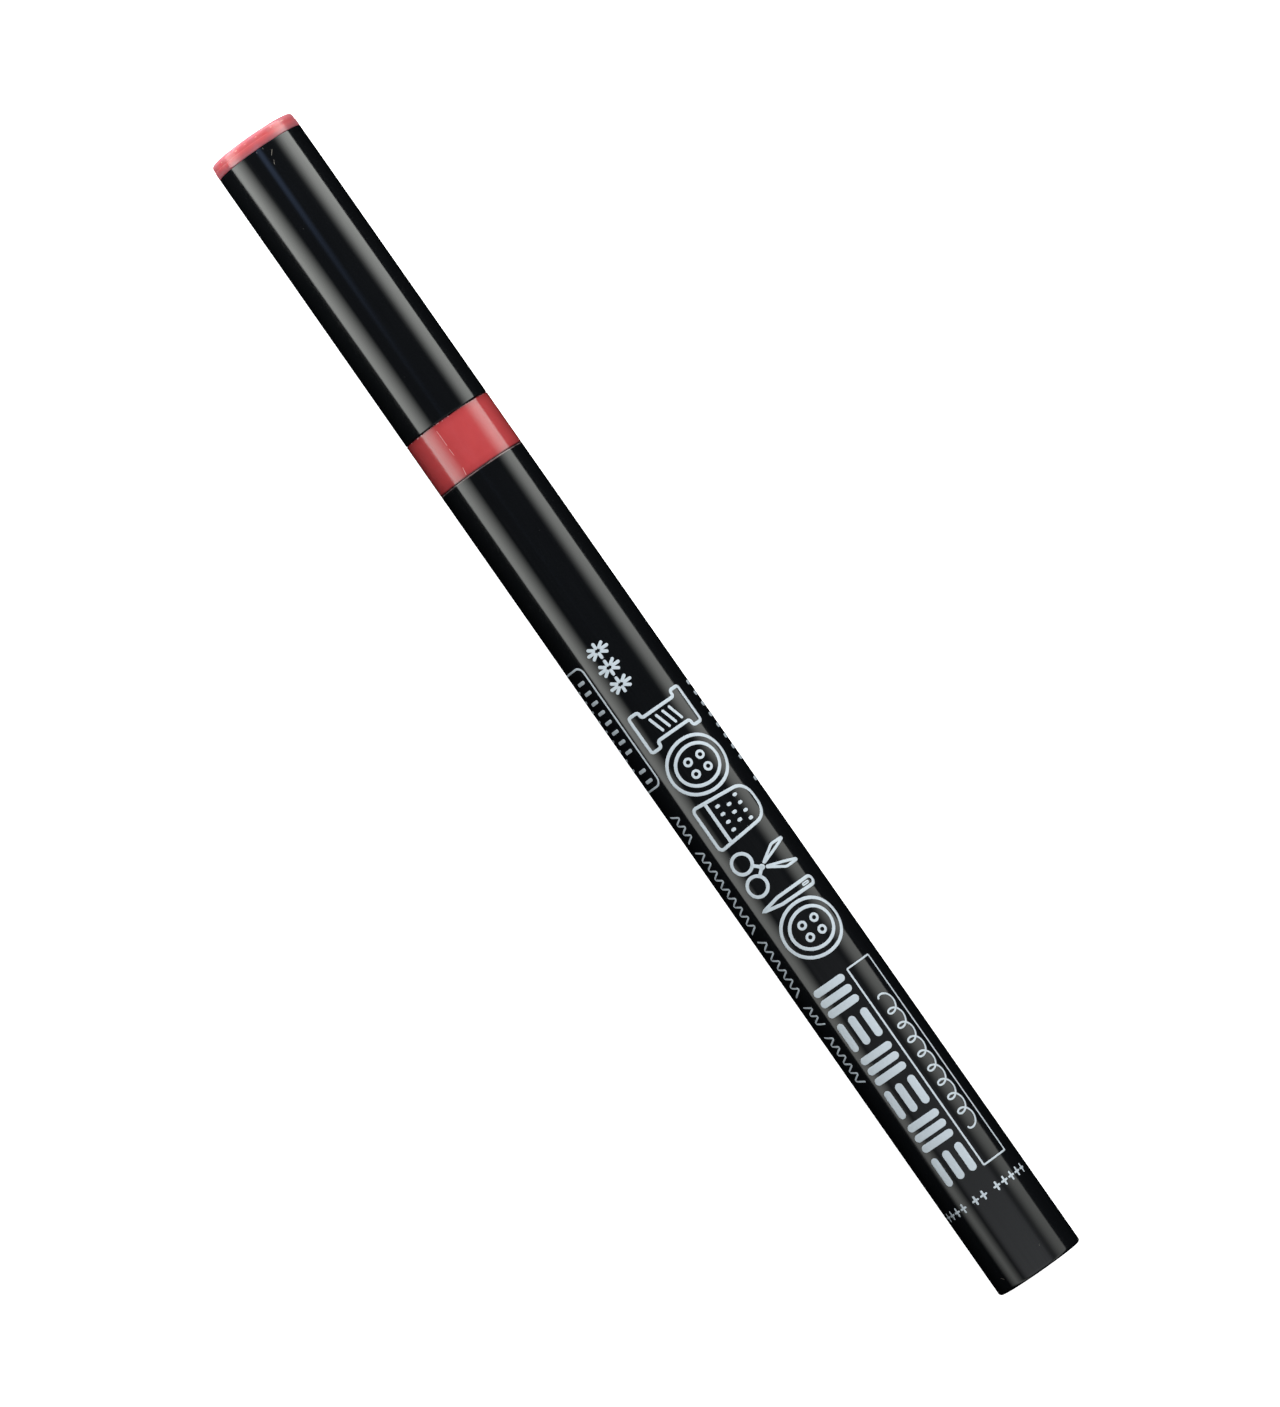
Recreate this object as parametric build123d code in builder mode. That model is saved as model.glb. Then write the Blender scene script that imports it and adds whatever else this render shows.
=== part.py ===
from build123d import *
import math
import os

# Fabric marking pen, lying on its side: its axis runs along X, the tail points to +X and the
# cap's end to -X. The origin is under the middle of the pen, on the surface that it lies on.
# Stations are distances from the tail face, towards the cap's end. All sizes are in mm.

# ---- whole pen ----
PEN_LENGTH = 140.0       # tail face to the top of the cap's end plug
STOCK_RADIUS = 4.95      # outside of the tube stock of barrel, ring and cap
BORE_RADIUS = 4.05       # inside of the same stock
CUT_EDGE = 0.08          # edge break of a sawn tube end
BORE_EDGE = 0.15         # edge break inside a tube end

# ---- barrel, colour ring and cap tube, one after the other ----
BARREL_LENGTH = 98.96
RING_LENGTH = 6.2
CAP_GAP = 0.05           # between the ring and the cap's mouth when the cap is home
CAP_TUBE_LENGTH = 33.09
TAIL_ROUNDING = 0.35
MOUTH_LEAD_IN = 0.3

# ---- tail plug ----
TAIL_DISC = 1.4          # thickness of the plug's floor
TAIL_PLUG_LENGTH = 8.0
TAIL_RIM_CHAMFER = 0.25
SOCKET_RADIUS = 3.35     # holds the reservoir, in the tail plug and in the front section
STOP_RIBS = 4
STOP_RIB_HEIGHT = 2.2
STOP_RIB_WIDTH = 0.8
STOP_RIB_INNER_RADIUS = 1.0

# ---- front section ----
SECTION_INSERT = 11.1    # length that is pressed into the barrel
SPIGOT_RADIUS = 3.45
SPIGOT_LENGTH = 11.7
BEAD_RADIUS = 3.53       # snap bead round the spigot
BEAD_WIDTH = 1.2
BEAD_OFFSET = 3.8        # from the ring's front face to the middle of the bead
NOSE_LENGTH = 5.5
NOSE_TIP_RADIUS = 2.0
SOCKET_FLOOR = 0.8       # wall between the reservoir's socket and the shoulder in front of the ring
NIB_CHAMBER_RADIUS = 2.3
NIB_CHAMBER_DEPTH = 8.5
NIB_SLEEVE_RADIUS = 1.55

# ---- nib holder and nib ----
COLLAR_LENGTH = 5.5
HOLDER_REACH = 0.8       # how far the holder stands out of the nose
VENT_GROOVES = 4
VENT_WIDTH = 0.5
VENT_DEPTH = 0.25
NIB_RADIUS = 0.9
NIB_REACH = 2.7          # how far the nib stands out of its holder
NIB_LENGTH = 31.0
NIB_TIP_LENGTH = 1.9
NIB_TIP_RADIUS = 0.35
NIB_TAIL_LENGTH = 1.5
NIB_TAIL_RADIUS = 0.25

# ---- ink reservoir ----
RESERVOIR_RADIUS = 3.2
RESERVOIR_END_GAP = 0.5  # between its front end and the floor of the socket
NIB_HOLE_PLAY = 0.03
FILM_INNER_RADIUS = 3.23
FILM_OUTER_RADIUS = 3.31

# ---- inner cap ----
INNER_CAP_INSET = 1.7    # from the ring's front face to its rim
GRIP_LENGTH = 10.6       # length that is pressed into the cap tube
INNER_BORE_RADIUS = 3.6
SEAL_LAND_RADIUS = 3.52
SEAL_LAND_OFFSET = 7.7   # from the ring's front face
SEAL_LAND_WIDTH = 2.0
CUP_RADIUS = 1.7         # round the nib
CUP_DEPTH = 5.4
CUP_WALL = 0.85
CUP_FLOOR = 1.2
RIM_LEAD_IN = 0.2
AIR_GROOVES = 4
AIR_GROOVE_WIDTH = 1.0
AIR_GROOVE_DEPTH = 0.2

# ---- cap's end plug ----
FLANGE_LOWER = 0.8       # full-diameter part of the flange
FLANGE_STEP = 0.05       # the upper part of the flange is this much smaller in radius
CROWN = 0.12             # rise of the domed end face
PLUG_RIM_ROUNDING = 0.35
PLUG_SKIRT_LENGTH = 5.0
PLUG_SKIRT_BORE = 3.25
PLUG_LEAD_IN = 0.25
PLUG_HOLLOW_OVERRUN = 0.4
GATE_RADIUS = 0.8        # shallow moulding-gate recess in the middle of the end face
GATE_DEPTH = 0.15

# ---- stations ----
RING_START = BARREL_LENGTH
RING_END = RING_START + RING_LENGTH
MOUTH = RING_END + CAP_GAP
FLANGE_START = MOUTH + CAP_TUBE_LENGTH
SECTION_START = RING_START - SECTION_INSERT
SPIGOT_END = RING_END + SPIGOT_LENGTH
NOSE_END = SPIGOT_END + NOSE_LENGTH
SOCKET_END = RING_END - SOCKET_FLOOR
CHAMBER_END = SOCKET_END + NIB_CHAMBER_DEPTH
HOLDER_END = NOSE_END + HOLDER_REACH
NIB_END = HOLDER_END + NIB_REACH
NIB_START = NIB_END - NIB_LENGTH
RESERVOIR_START = TAIL_DISC + STOP_RIB_HEIGHT
RESERVOIR_END = SOCKET_END - RESERVOIR_END_GAP
INNER_CAP_START = RING_END + INNER_CAP_INSET
GRIP_END = INNER_CAP_START + GRIP_LENGTH

# Profiles are drawn with the station along local x and the radius along local y.
PROFILE = Plane(origin=(PEN_LENGTH / 2, 0, STOCK_RADIUS), x_dir=(-1, 0, 0), z_dir=(0, 1, 0))
PEN_AXIS = Axis(origin=(0, 0, STOCK_RADIUS), direction=(-1, 0, 0))


def cross_section(station):
    """The plane across the pen at a station, its normal pointing to the cap's end."""
    return Plane(origin=(PEN_LENGTH / 2 - station, 0, STOCK_RADIUS), x_dir=(0, 1, 0), z_dir=(-1, 0, 0))


def rims(part, end):
    """The round rims of a part at its tail-side or cap-side end, the smallest first."""
    circles = part.edges().filter_by(GeomType.CIRCLE).filter_by(lambda edge: edge.is_closed)
    index = -1 if end == "tail" else 0
    return circles.group_by(Axis.X)[index].sort_by(SortBy.RADIUS)


os.makedirs("parts", exist_ok=True)

# ---- barrel: plain tube, rounded at the tail and sawn square at the ring ----
with BuildPart() as barrel:
    with BuildSketch(PROFILE):
        with Locations((0, BORE_RADIUS)):
            Rectangle(BARREL_LENGTH, STOCK_RADIUS - BORE_RADIUS, align=(Align.MIN, Align.MIN))
    revolve(axis=PEN_AXIS)
    fillet(rims(barrel, "tail")[-1], TAIL_ROUNDING)
    chamfer(rims(barrel, "tail")[0], BORE_EDGE)
    chamfer(rims(barrel, "cap")[-1], CUT_EDGE)
    chamfer(rims(barrel, "cap")[0], BORE_EDGE)
barrel.part.label = "barrel"
export_step(barrel.part, "parts/barrel.step")

# ---- colour ring: short length of red tube on the front section's seat ----
with BuildPart() as colour_ring:
    with BuildSketch(PROFILE):
        with Locations((RING_START, BORE_RADIUS)):
            Rectangle(RING_LENGTH, STOCK_RADIUS - BORE_RADIUS, align=(Align.MIN, Align.MIN))
    revolve(axis=PEN_AXIS)
    for end in ("tail", "cap"):
        chamfer(rims(colour_ring, end)[-1], CUT_EDGE)
colour_ring.part.label = "colour_ring"
export_step(colour_ring.part, "parts/colour_ring.step")

# ---- tail plug: closes the tail, and its ribs keep the reservoir off its floor ----
with BuildPart() as tail_plug:
    with BuildSketch(PROFILE):
        with BuildLine():
            Polyline(
                (0, 0),
                (0, BORE_RADIUS - TAIL_RIM_CHAMFER),
                (TAIL_RIM_CHAMFER, BORE_RADIUS),
                (TAIL_PLUG_LENGTH - PLUG_LEAD_IN, BORE_RADIUS),
                (TAIL_PLUG_LENGTH, BORE_RADIUS - PLUG_LEAD_IN),
                (TAIL_PLUG_LENGTH, SOCKET_RADIUS),
                (TAIL_DISC, SOCKET_RADIUS),
                (TAIL_DISC, 0),
                close=True,
            )
        make_face()
    revolve(axis=PEN_AXIS)
    with BuildSketch(cross_section(TAIL_DISC)):
        rib_length = SOCKET_RADIUS - STOP_RIB_INNER_RADIUS
        with PolarLocations(STOP_RIB_INNER_RADIUS + rib_length / 2, STOP_RIBS):
            Rectangle(rib_length, STOP_RIB_WIDTH)
    extrude(amount=STOP_RIB_HEIGHT)
tail_plug.part.label = "tail_plug"
export_step(tail_plug.part, "parts/tail_plug.step")

# ---- front section: seat in the barrel and ring, spigot for the cap, and the nose ----
with BuildPart() as front_section:
    bead_middle = RING_END + BEAD_OFFSET
    with BuildSketch(PROFILE):
        with BuildLine():
            Polyline(
                (SECTION_START, SOCKET_RADIUS),
                (SECTION_START, BORE_RADIUS - PLUG_LEAD_IN),
                (SECTION_START + PLUG_LEAD_IN, BORE_RADIUS),
                (RING_END, BORE_RADIUS),
                (RING_END, SPIGOT_RADIUS),
                (bead_middle - BEAD_WIDTH / 2, SPIGOT_RADIUS),
            )
            ThreePointArc(
                (bead_middle - BEAD_WIDTH / 2, SPIGOT_RADIUS),
                (bead_middle, BEAD_RADIUS),
                (bead_middle + BEAD_WIDTH / 2, SPIGOT_RADIUS),
            )
            Polyline(
                (bead_middle + BEAD_WIDTH / 2, SPIGOT_RADIUS),
                (SPIGOT_END, SPIGOT_RADIUS),
                (NOSE_END, NOSE_TIP_RADIUS),
                (NOSE_END, NIB_SLEEVE_RADIUS),
                (CHAMBER_END, NIB_SLEEVE_RADIUS),
                (CHAMBER_END, NIB_CHAMBER_RADIUS),
                (SOCKET_END, NIB_CHAMBER_RADIUS),
                (SOCKET_END, SOCKET_RADIUS),
                (SECTION_START, SOCKET_RADIUS),
            )
        make_face()
    revolve(axis=PEN_AXIS)
front_section.part.label = "front_section"
export_step(front_section.part, "parts/front_section.step")

# ---- nib holder: sleeve with air grooves, its collar against the chamber's shoulder ----
with BuildPart() as nib_holder:
    with BuildSketch(PROFILE):
        with BuildLine():
            Polyline(
                (CHAMBER_END - COLLAR_LENGTH, NIB_RADIUS),
                (CHAMBER_END - COLLAR_LENGTH, NIB_CHAMBER_RADIUS),
                (CHAMBER_END, NIB_CHAMBER_RADIUS),
                (CHAMBER_END, NIB_SLEEVE_RADIUS),
                (HOLDER_END - BORE_EDGE, NIB_SLEEVE_RADIUS),
                (HOLDER_END, NIB_SLEEVE_RADIUS - BORE_EDGE),
                (HOLDER_END, NIB_RADIUS),
                close=True,
            )
        make_face()
    revolve(axis=PEN_AXIS)
    for radius, start, end in (
        (NIB_CHAMBER_RADIUS, CHAMBER_END - COLLAR_LENGTH, CHAMBER_END),
        (NIB_SLEEVE_RADIUS, CHAMBER_END, HOLDER_END),
    ):
        with BuildSketch(cross_section(start)):
            with PolarLocations(radius, VENT_GROOVES):
                Rectangle(2 * VENT_DEPTH, VENT_WIDTH)
        extrude(amount=end - start, mode=Mode.SUBTRACT)
nib_holder.part.label = "nib_holder"
export_step(nib_holder.part, "parts/nib_holder.step")

# ---- nib: bonded fibre rod with a pointed tail and a fine rounded tip ----
with BuildPart() as nib:
    with BuildSketch(PROFILE):
        with BuildLine():
            tip = CenterArc(
                center=(NIB_END - NIB_TIP_RADIUS, 0),
                radius=NIB_TIP_RADIUS,
                start_angle=0,
                arc_size=75,
            )
            Polyline(
                tip @ 1,
                (NIB_END - NIB_TIP_LENGTH, NIB_RADIUS),
                (NIB_START + NIB_TAIL_LENGTH, NIB_RADIUS),
                (NIB_START, NIB_TAIL_RADIUS),
                (NIB_START, 0),
                tip @ 0,
            )
        make_face()
    revolve(axis=PEN_AXIS)
nib.part.label = "nib"
export_step(nib.part, "parts/nib.step")

# ---- ink reservoir: fibre rod with a hole for the nib's rear end ----
with BuildPart() as ink_reservoir:
    hole_radius = NIB_RADIUS + NIB_HOLE_PLAY
    with BuildSketch(PROFILE):
        with BuildLine():
            Polyline(
                (RESERVOIR_START, 0),
                (RESERVOIR_START, RESERVOIR_RADIUS),
                (RESERVOIR_END, RESERVOIR_RADIUS),
                (RESERVOIR_END, hole_radius),
                (NIB_START + NIB_TAIL_LENGTH, hole_radius),
                (NIB_START - NIB_HOLE_PLAY, NIB_TAIL_RADIUS + NIB_HOLE_PLAY),
                (NIB_START - NIB_HOLE_PLAY, 0),
                close=True,
            )
        make_face()
    revolve(axis=PEN_AXIS)
ink_reservoir.part.label = "ink_reservoir"
export_step(ink_reservoir.part, "parts/ink_reservoir.step")

# ---- reservoir film: thin wrap round the fibre ----
with BuildPart() as reservoir_film:
    with BuildSketch(PROFILE):
        with Locations((RESERVOIR_START, FILM_INNER_RADIUS)):
            Rectangle(
                RESERVOIR_END - RESERVOIR_START,
                FILM_OUTER_RADIUS - FILM_INNER_RADIUS,
                align=(Align.MIN, Align.MIN),
            )
    revolve(axis=PEN_AXIS)
reservoir_film.part.label = "reservoir_film"
export_step(reservoir_film.part, "parts/reservoir_film.step")

# ---- cap tube: same stock as the barrel, eased inside its mouth ----
with BuildPart() as cap_tube:
    with BuildSketch(PROFILE):
        with Locations((MOUTH, BORE_RADIUS)):
            Rectangle(CAP_TUBE_LENGTH, STOCK_RADIUS - BORE_RADIUS, align=(Align.MIN, Align.MIN))
    revolve(axis=PEN_AXIS)
    for end in ("tail", "cap"):
        chamfer(rims(cap_tube, end)[-1], CUT_EDGE)
    chamfer(rims(cap_tube, "tail")[0], MOUTH_LEAD_IN)
cap_tube.part.label = "cap_tube"
export_step(cap_tube.part, "parts/cap_tube.step")

# ---- inner cap: grip and seal on the spigot, then a cone and a cup that follow the nose ----
with BuildPart() as inner_cap:
    nose_slope = (SPIGOT_RADIUS - NOSE_TIP_RADIUS) / NOSE_LENGTH
    cone_length = (INNER_BORE_RADIUS - CUP_RADIUS) / nose_slope
    cup_start = GRIP_END + cone_length
    cup_end = cup_start + CUP_DEPTH
    cup_outer = CUP_RADIUS + CUP_WALL
    land_start = RING_END + SEAL_LAND_OFFSET
    land_end = land_start + SEAL_LAND_WIDTH
    land_height = INNER_BORE_RADIUS - SEAL_LAND_RADIUS
    with BuildSketch(PROFILE):
        with BuildLine():
            Polyline(
                (INNER_CAP_START, INNER_BORE_RADIUS + RIM_LEAD_IN),
                (INNER_CAP_START, BORE_RADIUS - AIR_GROOVE_DEPTH / 2),
                (INNER_CAP_START + AIR_GROOVE_DEPTH / 2, BORE_RADIUS),
                (GRIP_END, BORE_RADIUS),
                (cup_start, cup_outer),
                (cup_end + CUP_FLOOR - CUP_WALL / 2, cup_outer),
                (cup_end + CUP_FLOOR, cup_outer - CUP_WALL / 2),
                (cup_end + CUP_FLOOR, 0),
                (cup_end, 0),
                (cup_end, CUP_RADIUS),
                (cup_start, CUP_RADIUS),
                (GRIP_END, INNER_BORE_RADIUS),
                (land_end + land_height, INNER_BORE_RADIUS),
                (land_end, SEAL_LAND_RADIUS),
                (land_start, SEAL_LAND_RADIUS),
                (land_start - land_height, INNER_BORE_RADIUS),
                (INNER_CAP_START + RIM_LEAD_IN, INNER_BORE_RADIUS),
                close=True,
            )
        make_face()
    revolve(axis=PEN_AXIS)
    with BuildSketch(cross_section(INNER_CAP_START)):
        with PolarLocations(BORE_RADIUS, AIR_GROOVES):
            Rectangle(2 * AIR_GROOVE_DEPTH, AIR_GROOVE_WIDTH)
    extrude(amount=GRIP_LENGTH, mode=Mode.SUBTRACT)
inner_cap.part.label = "inner_cap"
export_step(inner_cap.part, "parts/inner_cap.step")

# ---- cap end plug: flange with a fine step, domed end face and a hollow skirt ----
with BuildPart() as cap_end_plug:
    upper_radius = STOCK_RADIUS - FLANGE_STEP
    crown_radius = (upper_radius**2 + CROWN**2) / (2 * CROWN)
    skirt_start = FLANGE_START - PLUG_SKIRT_LENGTH
    hollow_end = FLANGE_START + PLUG_HOLLOW_OVERRUN
    with BuildSketch(PROFILE):
        with BuildLine():
            crown = CenterArc(
                center=(PEN_LENGTH - crown_radius, 0),
                radius=crown_radius,
                start_angle=0,
                arc_size=math.degrees(math.asin(upper_radius / crown_radius)),
            )
            Polyline(
                crown @ 1,
                (FLANGE_START + FLANGE_LOWER, upper_radius),
                (FLANGE_START + FLANGE_LOWER, STOCK_RADIUS),
                (FLANGE_START, STOCK_RADIUS),
                (FLANGE_START, BORE_RADIUS),
                (skirt_start + PLUG_LEAD_IN, BORE_RADIUS),
                (skirt_start, BORE_RADIUS - PLUG_LEAD_IN),
                (skirt_start, PLUG_SKIRT_BORE),
                (hollow_end, PLUG_SKIRT_BORE),
                (hollow_end, 0),
                crown @ 0,
            )
        make_face()
    revolve(axis=PEN_AXIS)
    fillet(rims(cap_end_plug, "cap")[-1], PLUG_RIM_ROUNDING)
    with BuildSketch(cross_section(PEN_LENGTH - GATE_DEPTH)):
        Circle(GATE_RADIUS)
    extrude(amount=GATE_DEPTH, mode=Mode.SUBTRACT)
cap_end_plug.part.label = "cap_end_plug"
export_step(cap_end_plug.part, "parts/cap_end_plug.step")
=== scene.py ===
import math

import bmesh
import bpy
from mathutils import Matrix, Vector, noise


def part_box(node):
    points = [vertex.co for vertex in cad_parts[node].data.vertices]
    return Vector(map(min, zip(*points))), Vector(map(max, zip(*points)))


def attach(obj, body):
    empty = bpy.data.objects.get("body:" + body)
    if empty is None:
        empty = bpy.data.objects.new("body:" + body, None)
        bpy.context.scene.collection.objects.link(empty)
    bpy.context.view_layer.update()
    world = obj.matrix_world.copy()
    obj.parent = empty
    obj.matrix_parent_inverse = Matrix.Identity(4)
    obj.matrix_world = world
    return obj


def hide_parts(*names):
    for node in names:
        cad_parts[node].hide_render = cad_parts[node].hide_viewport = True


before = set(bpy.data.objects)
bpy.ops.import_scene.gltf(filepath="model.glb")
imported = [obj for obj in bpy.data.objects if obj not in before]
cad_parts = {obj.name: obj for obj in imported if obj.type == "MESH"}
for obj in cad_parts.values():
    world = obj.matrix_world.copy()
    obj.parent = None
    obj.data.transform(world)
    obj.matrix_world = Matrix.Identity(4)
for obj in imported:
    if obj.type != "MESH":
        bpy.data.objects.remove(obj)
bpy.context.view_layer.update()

# A fabric marking pen that lies along X, its tail at +X and the end of its cap at -X.
# Lengths are in millimetres, and MM turns them into the frame's metres. A place along the pen is
# a station: its distance from the tail face, towards the cap. A place round the pen is an angle
# from the top line, towards +Y, which is also the upper side of the print.

MM = 0.001

# ================================================================ sizes from the frame

barrel_low, barrel_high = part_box("barrel")
TAIL_X = barrel_high.x / MM
AXIS_Z = (barrel_high.z + barrel_low.z) / 2 / MM
RADIUS = (barrel_high.z - barrel_low.z) / 2 / MM


def stations(node):
    """The tail-side and cap-side station of a CAD node."""
    low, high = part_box(node)
    return TAIL_X - high.x / MM, TAIL_X - low.x / MM


def radius_of(node):
    """Outer radius of a round CAD node."""
    low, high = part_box(node)
    return (high.z - low.z) / 2 / MM


TAIL, RING_START = stations("barrel")
RING_END = stations("colour_ring")[1]
MOUTH, FLANGE_START = stations("cap_tube")
SKIRT_START, PEN_END = stations("cap_end_plug")
SECTION_START, NOSE_END = stations("front_section")
COLLAR_START, HOLDER_END = stations("nib_holder")
NIB_START, NIB_END = stations("nib")
TAIL_PLUG_END = stations("tail_plug")[1]
BORE = radius_of("tail_plug")
NIB_RADIUS = radius_of("nib")

# Inner sizes that no node's box gives. They are the CAD's own.
SOCKET_RADIUS = 3.35     # holes in the tail plug and the front section that the ink reservoir ends in
COLLAR_RADIUS = 2.3      # the nib holder's collar, and the chamber that takes it
COLLAR_LENGTH = 5.5
SLEEVE_RADIUS = 1.55     # the nib holder in front of its collar
SPIGOT_RADIUS = 3.45     # the front section where the cap is pushed on
NOSE_RADIUS = 2.0        # the front section's tip
NOSE_LENGTH = 5.5
PLUG_BEVEL = 0.25        # lead-in at the inner ends of both plugs

SEGMENTS = 256           # round the pen
CUT_EDGE = 0.08          # edge break of a sawn tube end
SUPPORT = 0.05           # how near a corner the flat run beside it is pinned

# ================================================================ meshes


def on_pen(station, angle, radius):
    """The point at a station, an angle and a distance from the pen's axis, in the frame's metres."""
    y = radius * math.sin(angle)
    z = AXIS_Z + radius * math.cos(angle)
    return Vector((TAIL_X - station, y, z)) * MM


def rounded(points, radius, steps=6, closed=True):
    """A flat outline with its corners rounded. radius is one length, or {corner's index: length}."""
    made = []
    for i, point in enumerate(points):
        size = radius.get(i, 0) if isinstance(radius, dict) else radius
        loose_end = not closed and i in (0, len(points) - 1)
        if size <= 0 or loose_end:
            made.append(tuple(point))
            continue
        here = Vector(point)
        before = (Vector(points[i - 1]) - here).normalized()
        after = (Vector(points[(i + 1) % len(points)]) - here).normalized()
        half = before.angle(after) / 2
        centre = here + (before + after).normalized() * (size / math.sin(half))
        start = here + before * (size / math.tan(half)) - centre
        side = 1 if before.cross(after) < 0 else -1
        first = math.atan2(start.y, start.x)
        for k in range(steps + 1):
            angle = first + side * (math.pi - 2 * half) * k / steps
            made.append((centre.x + size * math.cos(angle), centre.y + size * math.sin(angle)))
    return made


def make_object(name, bm, material, smooth_angle=32):
    """Turns a bmesh into a smooth-shaded object whose sharp corners stay sharp."""
    bmesh.ops.recalc_face_normals(bm, faces=bm.faces)
    mesh = bpy.data.meshes.new(name)
    bm.to_mesh(mesh)
    bm.free()
    mesh.polygons.foreach_set("use_smooth", [True] * len(mesh.polygons))
    mesh.set_sharp_from_angle(angle=math.radians(smooth_angle))
    mesh.materials.append(material)
    made = bpy.data.objects.new(name, mesh)
    bpy.context.scene.collection.objects.link(made)
    return made


def with_supports(outline):
    """The same closed outline with two more points on each long run, so that the run shades flat."""
    made = []
    for here, after in zip(outline, outline[1:] + outline[:1]):
        made.append(here)
        run = Vector(after) - Vector(here)
        on_axis = here[1] < 1e-6 and after[1] < 1e-6
        if run.length > 4 * SUPPORT and not on_axis:
            step = run.normalized() * SUPPORT
            made += [tuple(Vector(here) + step), tuple(Vector(after) - step)]
    return made


def lathe(name, outline, material, warp=None, segments=SEGMENTS):
    """A closed solid turned about the pen's axis from a closed outline of (station, radius).
    warp(station, radius, angle) returns the station and radius that a point gets instead."""
    bm = bmesh.new()
    rings = []
    for station, radius in with_supports(outline):
        if radius < 1e-6:
            rings.append([bm.verts.new(on_pen(station, 0, 0))])
            continue
        ring = []
        for k in range(segments):
            angle = 2 * math.pi * k / segments
            place = warp(station, radius, angle) if warp else (station, radius)
            ring.append(bm.verts.new(on_pen(place[0], angle, place[1])))
        rings.append(ring)
    for here, after in zip(rings, rings[1:] + rings[:1]):
        if len(here) == 1 and len(after) == 1:
            continue
        for k in range(segments):
            n = (k + 1) % segments
            near_side = [here[k % len(here)], here[n % len(here)]]
            far_side = [after[n % len(after)], after[k % len(after)]]
            bm.faces.new(list(dict.fromkeys(near_side + far_side)))
    return make_object(name, bm, material)


def tube_outline(start, end, outer, bore, edges):
    """The outline of a tube. edges rounds its corners: outer start, outer end, bore end, bore start."""
    corners = [(start, outer), (end, outer), (end, bore), (start, bore)]
    return rounded(corners, dict(enumerate(edges)))


def ripple(angle, waves, seed):
    """Smooth noise from -1 to 1 round the pen, the same every run."""
    return noise.noise(Vector((math.cos(angle) * waves, math.sin(angle) * waves, seed)))


# ================================================================ materials


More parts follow.
